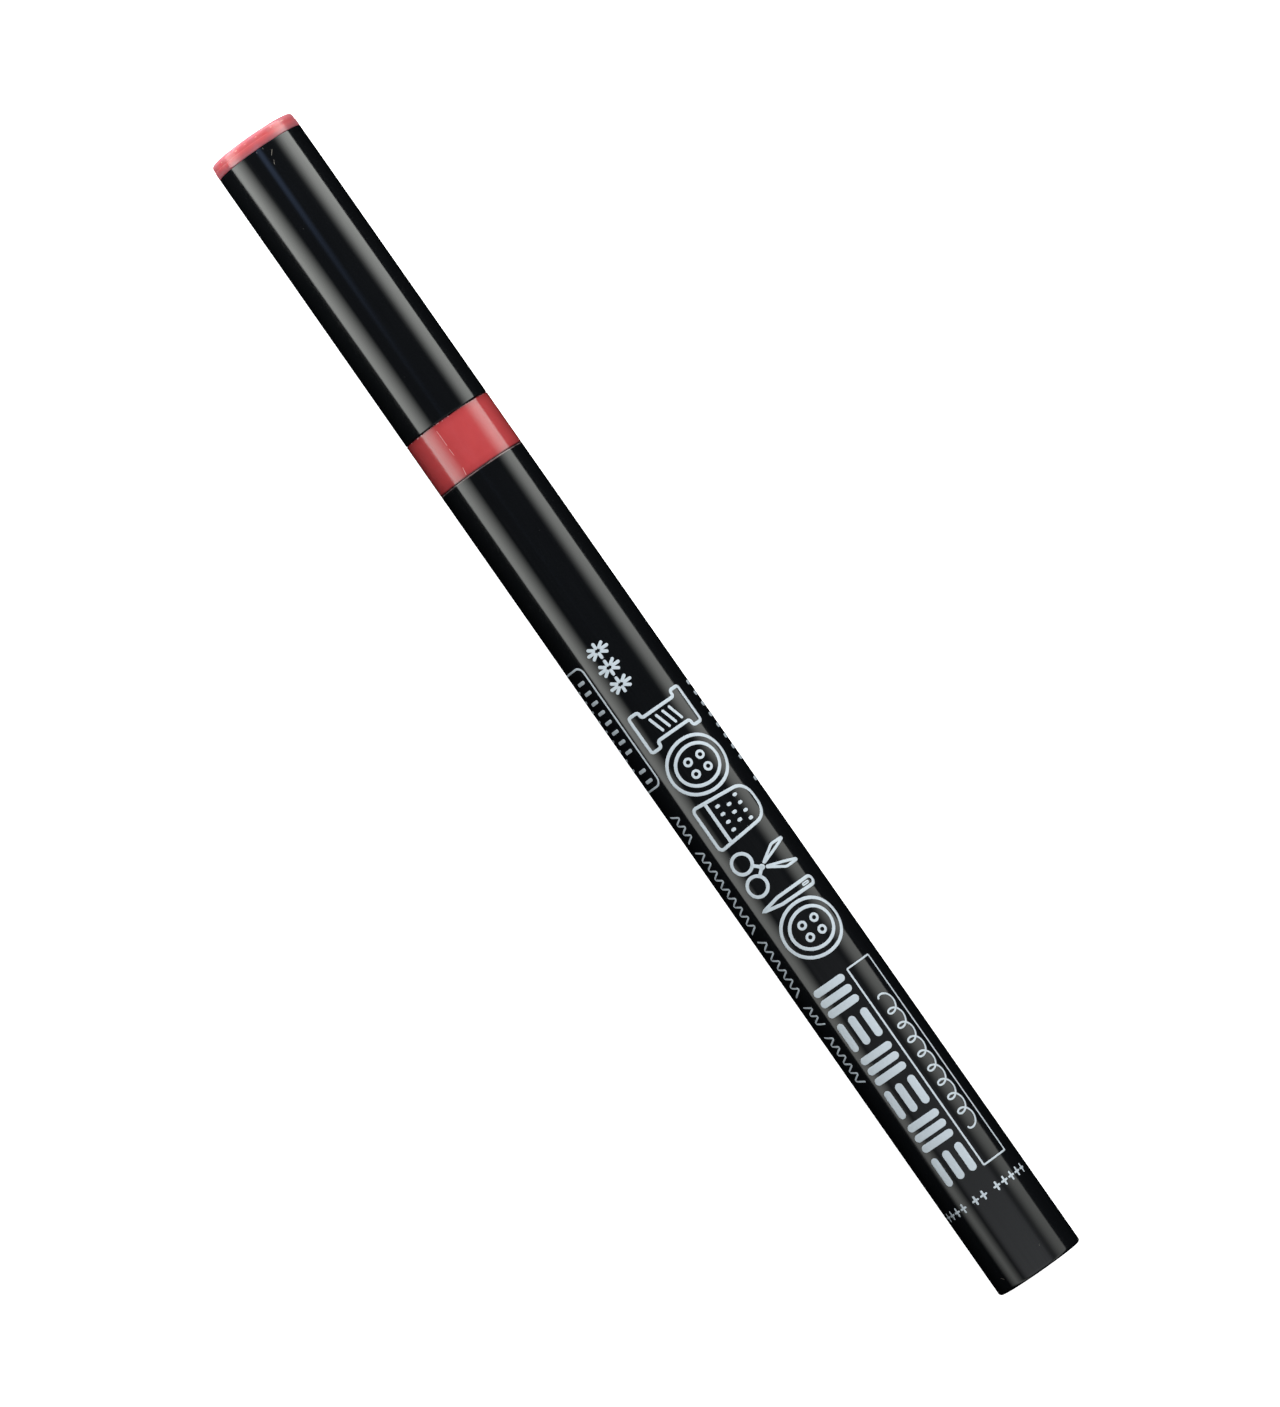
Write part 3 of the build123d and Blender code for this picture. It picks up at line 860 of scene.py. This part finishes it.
def scissors(line):
    """Small open scissors in outline: two finger rings, their shanks, and two blades."""
    screw = Vector((0, -0.7))
    grip = 1.08
    strokes = [(circle(screw.x, screw.y, 0.2, 16), line * 0.7, True)]
    for side in (-1, 1):
        ring_middle = Vector((side * 1.38, -2.22))
        shank = ring_middle - screw
        strokes.append((circle(ring_middle.x, ring_middle.y, grip, 32), line, True))
        strokes.append(([screw, screw + shank * (1 - grip / shank.length)], line, False))
        blade = [(side * x, screw.y + y) for x, y in ((0.12, 0.15), (1.35, 4.0), (1.4, 2.2))]
        strokes.append((rounded(blade, {0: 0.05, 1: 0.05, 2: 0.9}, steps=6), line * 0.8, True))
    return strokes


def needle(line):
    """A needle in outline, as wide as its eye needs, with its point down."""
    w, h = 0.47, 3.3
    outline = [(-w, h - w), (-w * 0.9, -h * 0.35), (0, -h), (w * 0.9, -h * 0.35), (w, h - w)]
    head = []
    for degrees in range(20, 161, 20):
        turn = math.radians(degrees)
        head.append((w * math.cos(turn), h - w + w * math.sin(turn)))
    eye = rounded([(-0.1, h - 1.5), (0.1, h - 1.5), (0.1, h - 0.7), (-0.1, h - 0.7)], 0.09, steps=3)
    return [(outline + head, line, True), (eye, line * 0.4, True)]


def daisy_stitch(line):
    """Eight short stitches that radiate from a small gap."""
    strokes = []
    for k in range(8):
        angle = math.pi * k / 4
        reach = Vector((math.cos(angle) * 0.78, math.sin(angle) * 1.12))
        strokes.append(([reach * 0.42, reach], line, False))
    return strokes


def weave_block(upright, line):
    """Three heavy bars, upright or level, as one square of a basket weave."""
    width, height = 3.35, 3.85
    reach = (height if upright else width) / 2 - line / 2
    spread = ((width if upright else height) - line) / 2
    bars = []
    for k in (-1, 0, 1):
        if upright:
            ends = [(k * spread, -reach), (k * spread, reach)]
        else:
            ends = [(-reach, k * spread), (reach, k * spread)]
        bars.append((ends, line, False))
    return bars


def zigzag(length, height, pitch, line):
    """A machine zigzag of this length, centred."""
    count = max(1, round(length / pitch * 2))
    points = []
    for k in range(count + 1):
        side = 1 if k % 2 else -1
        points.append((-length / 2 + length * k / count, height / 2 * side))
    return [(rounded(points, 0.12, steps=3, closed=False), line, False)]


def thread_curl(length, height, loops, line):
    """A line that runs along in even loops, like a curl of thread."""
    steps = loops * 26
    run = length - height * 0.8
    path = []
    for k in range(steps + 1):
        turn = 2 * math.pi * loops * k / steps
        x = -run / 2 + run * k / steps - 0.42 * height * math.sin(turn)
        path.append((x, -height / 2 * math.cos(turn)))
    return [(path, line, False)]


def tick(height, line):
    """One short bar across the pen's length."""
    return [([(0, -height / 2), (0, height / 2)], line, False)]


def print_row(places, first, pitch, arc, strokes):
    """The same mark at numbered places of a row, which runs from its first station to the tail."""
    return [(first - pitch * k, arc, strokes) for k in places]


def make_print():
    """Every mark's place is a station and an arc, which is how far round the pen it is from the top."""
    icon_arc, icon_line = 0.68, 0.36
    icons = (
        (67.4, spool),
        (61.75, button),
        (55.7, thimble),
        (49.55, scissors),
        (45.7, needle),
        (41.65, button),
    )
    print_group("print_sewing_icons", [(station, icon_arc, draw(icon_line)) for station, draw in icons])

    print_group("print_daisy_stitches", print_row(range(3), 76.95, 2.05, -1.13, daisy_stitch(0.35)))

    weave_start, weave_pitch, weave_arc, bar = 34.55, 4.14, -1.42, 0.84
    blocks = [(weave_start - weave_pitch * k, weave_arc, weave_block(k % 2 == 0, bar)) for k in range(6)]
    print_group("print_basket_weave", blocks)

    panel = [(box_path(24.1, 3.2, 0.1), 0.19, True)]
    curl = thread_curl(17.0, 1.5, 9, 0.2)
    print_group("print_line_sample", [(24.12, 2.74, panel), (24.0, 2.86, curl)])

    badge_frame = [(box_path(14.4, 4.2, 0.75), 0.22, True)]
    badge = [(69.5, -5.95, badge_frame)]
    badge += print_row((0, 1, 2, 3, 4, 5, 6, 7, 9, 10), 75.2, 1.2, -5.25, tick(1.04, 0.38))
    badge += print_row(range(9), 74.6, 1.2, -7.3, tick(0.8, 0.3))
    print_group("print_care_badge", badge)

    zigzag_arc = -5.15
    zigzag_row = []
    for start, length in ((58.9, 3.2), (54.5, 10.0), (43.5, 6.8), (35.4, 2.5), (31.7, 5.9)):
        zigzag_row.append((start - length / 2, zigzag_arc, zigzag(length, 1.5, 1.1, 0.2)))
    print_group("print_zigzag_row", zigzag_row)

    cross_station, cross_pitch, cross_gap = 9.6, 1.0, 0.65
    cross = [([(-0.42, 0), (0.42, 0)], 0.22, False), *tick(0.6, 0.22)]
    crosses = []
    arc = -6.3
    for count in (4, 2, 5):
        for _ in range(count):
            crosses.append((cross_station, arc, cross))
            arc += cross_pitch
        arc += cross_gap
    print_group("print_tail_marks", crosses)

    back_places = (0, 1, 2, 3, 4, 5, 6, 7, 9)
    print_group("print_back_stitches", print_row(back_places, 69.2, 1.32, 7.35, tick(2.2, 0.5)))


make_print()

# ================================================================ studio and camera

FAR_LEVEL = 2.95
NEAR_LEVEL = 3.5
SKY_LEVEL = 1.25
PEN_REACH = 72           # just past the pen's ends
CARD_REACH = 1200        # how far along X the cards go on, as seen in the pen
CARD_DISTANCE = 600      # of the two soft boxes from the pen's axis
BACK_CARD_DISTANCE = 1200                # of the ceiling and the window

CAMERA_DISTANCE = 935
CAMERA_X = 20            # the camera stands over this X place, and looks back at the pen's middle
FIELD_HEIGHT = 142.92    # what the long side of the picture covers at the pen's axis
CAMERA_TILT = 2.4        # degrees from straight down, towards -Y
CAMERA_TURN = 55.03      # degrees that the pen's axis is turned in the picture
SIDE_SHIFT = 0.42        # how far the pen's middle lies right of the picture's middle
CROSS_SHIFT = 0.083      # how far the pen's middle lies off it across the pen


def make_floor():
    """A pale sheet lit a little from below, as on a light table. The pen gets no light back from it."""
    paint = Paint("floor_paper", 0.6, (0.88, 0.88, 0.88))
    mottle = paint.noise((0.004, 0.004, 0.004))
    paint.set("Base Color", paint.blend(mottle, (0.87, 0.87, 0.87), (0.89, 0.89, 0.89)))
    paint.set("Specular IOR Level", 0.1)
    paint.set("Emission Color", (1.0, 1.0, 1.0, 1))
    paint.set("Emission Strength", 0.8)
    bm = bmesh.new()
    bmesh.ops.create_grid(bm, x_segments=8, y_segments=8, size=4.0)
    floor = make_object("floor", bm, paint.material)
    floor.visible_glossy = False
    floor.visible_diffuse = False


def smooth_step(value, start, end):
    share = min(1, max(0, (value - start) / (end - start)))
    return share * share * (3 - 2 * share)


def light_card(name, distance, reach, colour, edges, glow):
    """A curved see-through studio light about the pen. reach is the two X places, in mm, that it is
    seen between in the pen. edges(x) gives the two angles it lies between, in degrees from straight
    up towards +Y. glow(share, x) gives its brightness, where share runs from 0 at the first angle
    to 1 at the second. A card that reaches the pen's end goes on unchanged far past it, for the
    rounded rims and for slanting views."""
    bm = bmesh.new()
    layer = bm.verts.layers.float.new("glow")
    columns, rows = 72, 36
    spread = distance / CAMERA_DISTANCE
    seen = [reach[0] + (reach[1] - reach[0]) * i / columns for i in range(columns + 1)]
    if reach[0] == -PEN_REACH:
        seen.insert(0, -CARD_REACH)
    if reach[1] == PEN_REACH:
        seen.append(CARD_REACH)
    grid = []
    for seen_x in seen:
        x = seen_x + (seen_x - CAMERA_X) * spread
        place = min(PEN_REACH, max(-PEN_REACH, seen_x))
        first, last = edges(place)
        line = []
        for j in range(rows + 1):
            angle = math.radians(first + (last - first) * j / rows)
            spot = Vector((x, distance * math.sin(angle), AXIS_Z + distance * math.cos(angle))) * MM
            vertex = bm.verts.new(spot)
            vertex[layer] = glow(j / rows, place)
            line.append(vertex)
        grid.append(line)
    for here, after in zip(grid, grid[1:]):
        for j in range(rows):
            bm.faces.new((here[j], here[j + 1], after[j + 1], after[j]))
    material = bpy.data.materials.new(name)
    material.use_nodes = True
    tree = material.node_tree
    tree.nodes.clear()
    output = tree.nodes.new("ShaderNodeOutputMaterial")
    emission = tree.nodes.new("ShaderNodeEmission")
    clear = tree.nodes.new("ShaderNodeBsdfTransparent")
    both = tree.nodes.new("ShaderNodeAddShader")
    level = tree.nodes.new("ShaderNodeAttribute")
    level.attribute_name = "glow"
    emission.inputs["Color"].default_value = (*colour, 1)
    tree.links.new(level.outputs["Fac"], emission.inputs["Strength"])
    tree.links.new(emission.outputs[0], both.inputs[0])
    tree.links.new(clear.outputs[0], both.inputs[1])
    tree.links.new(both.outputs[0], output.inputs["Surface"])
    card = make_object(name, bm, material)
    card.visible_camera = False
    card.visible_diffuse = False
    card.visible_shadow = False


def cap_bend(x):
    """How much a strip of light bends over the cap: 0 by its mouth, and 1 near its end."""
    return (max(0, -37 - x) / 30) ** 2


def make_cards():
    """The lights that show in the pen: two long soft boxes, a dim ceiling and a small bluish window."""

    def far_edges(x):
        if x < -31:
            return 91.6 - 1.8 * smooth_step(x, -52, -67), 42 - 7 * smooth_step(x, -42, -68)
        return 91.0 - 11.5 * smooth_step(x, -60, 95), 42 - 9.5 * smooth_step(x, -60, 95)

    def far_glow(share, x):
        fall = 1 - 0.08 * smooth_step(share, 0.1, 0.4)
        return FAR_LEVEL * math.exp(-0.0098 * x) * smooth_step(share, 0.95, 0.3) * fall

    def near_edges(x):
        tail_bend = min(1, max(0, (x + 45) / 110))
        outer = -78.1 - 6.7 * cap_bend(x) - 3.3 * smooth_step(x, -10, 20) - 8.6 * smooth_step(x, 40, 66)
        return outer, -33.5 - 7.5 * cap_bend(x) - 16.2 * tail_bend

    def near_glow(share, x):
        """A steady rise from the inner edge to a ridge. The outer edge is sharp, but soft near the tail."""
        outer, inner = near_edges(x)
        angle = outer + (inner - outer) * share
        ridge = -69.5 - 6.9 * cap_bend(x)
        level = 1 - (1 - min(1, (inner - angle) / (inner - ridge))) ** 1.2
        softness = smooth_step(x, 40, 66)
        if softness > 0:
            level *= min(1, (angle - outer) / ((ridge - outer) * softness))
        return NEAR_LEVEL * math.exp(-(0.0086 if x < 0 else 0.0114) * x) * level

    def ceiling_edges(x):
        return -54, 46

    def ceiling_glow(share, x):
        return 0.82 * smooth_step(share, 0, 0.2) * smooth_step(share, 1, 0.8) * (max(0, x - 5) / 65) ** 2

    def window_edges(x):
        return -13, 8

    def window_glow(share, x):
        along = 1.5 * (max(0, -45 - x) / 25) ** 2
        return along * smooth_step(share, 0, 0.45) * smooth_step(share, 1, 0.55)

    white, cool, blue = (0.97, 1.0, 0.96), (0.94, 0.97, 1.0), (0.4, 0.58, 1.0)
    whole_pen = (-PEN_REACH, PEN_REACH)
    light_card("far_softbox", CARD_DISTANCE, whole_pen, white, far_edges, far_glow)
    light_card("near_softbox", CARD_DISTANCE, whole_pen, white, near_edges, near_glow)
    light_card("ceiling", BACK_CARD_DISTANCE, (5, PEN_REACH), cool, ceiling_edges, ceiling_glow)
    light_card("window", BACK_CARD_DISTANCE, (-PEN_REACH, -34), blue, window_edges, window_glow)


def make_lamp(name, place, aim, size, energy):
    """A square lamp that doesn't show in the pen. Places are in mm."""
    data = bpy.data.lights.new(name, "AREA")
    data.size = size * MM
    data.energy = energy
    lamp = bpy.data.objects.new(name, data)
    lamp.location = Vector(place) * MM
    lamp.rotation_euler = (Vector(aim) - Vector(place)).to_track_quat("-Z", "Y").to_euler()
    lamp.visible_camera = False
    lamp.visible_glossy = False
    bpy.context.scene.collection.objects.link(lamp)


def make_lamps():
    """A soft lamp over the cap, from which the print darkens towards the tail, and a small low one
    by the red plug."""
    make_lamp("key", (-200, 0, 300), (0, 0, 0), 150, 0.95)
    make_lamp("low_fill", (-97, -36, 14), (-68, 0, 4), 16, 0.016)


def make_sky():
    """White light from above, stronger from the far side than from the near side, and none from
    below."""
    world = bpy.data.worlds.new("studio")
    bpy.context.scene.world = world
    world.use_nodes = True
    tree = world.node_tree
    background = tree.nodes["Background"]
    place = tree.nodes.new("ShaderNodeTexCoord")
    split = tree.nodes.new("ShaderNodeSeparateXYZ")
    tree.links.new(place.outputs["Generated"], split.inputs[0])
    levels = []
    for axis, low, high, top in (("Z", -0.05, 0.12, 1.0), ("Y", -0.95, 0.85, SKY_LEVEL)):
        level = tree.nodes.new("ShaderNodeMapRange")
        level.inputs["From Min"].default_value = low
        level.inputs["From Max"].default_value = high
        level.inputs["To Max"].default_value = top
        tree.links.new(split.outputs[axis], level.inputs["Value"])
        levels.append(level.outputs[0])
    product = tree.nodes.new("ShaderNodeMath")
    product.operation = "MULTIPLY"
    tree.links.new(levels[0], product.inputs[0])
    tree.links.new(levels[1], product.inputs[1])
    tree.links.new(product.outputs[0], background.inputs["Strength"])
    background.inputs["Color"].default_value = (1.0, 1.0, 1.0, 1)
    world.cycles_visibility.glossy = False


def make_camera():
    tilt, turn = math.radians(CAMERA_TILT), math.radians(CAMERA_TURN)
    middle = Vector((TAIL_X - (TAIL + PEN_END) / 2, 0, AXIS_Z))
    back = Vector((CAMERA_X / CAMERA_DISTANCE, -math.sin(tilt), math.cos(tilt))).normalized()
    across = back.cross(Vector((1, 0, 0))).normalized()
    along = across.cross(back)
    right = along * math.cos(turn) + across * math.sin(turn)
    up = across * math.cos(turn) - along * math.sin(turn)
    target = middle - right * SIDE_SHIFT - across * CROSS_SHIFT
    data = bpy.data.cameras.new("camera")
    data.sensor_width = 36
    data.lens = data.sensor_width * CAMERA_DISTANCE / FIELD_HEIGHT
    camera = bpy.data.objects.new("camera", data)
    matrix = Matrix((right, up, back)).transposed().to_4x4()
    matrix.translation = (target + back * CAMERA_DISTANCE) * MM
    camera.matrix_world = matrix
    bpy.context.scene.collection.objects.link(camera)
    bpy.context.scene.camera = camera


make_floor()
make_cards()
make_lamps()
make_sky()
make_camera()
bpy.context.scene.view_settings.view_transform = "Standard"
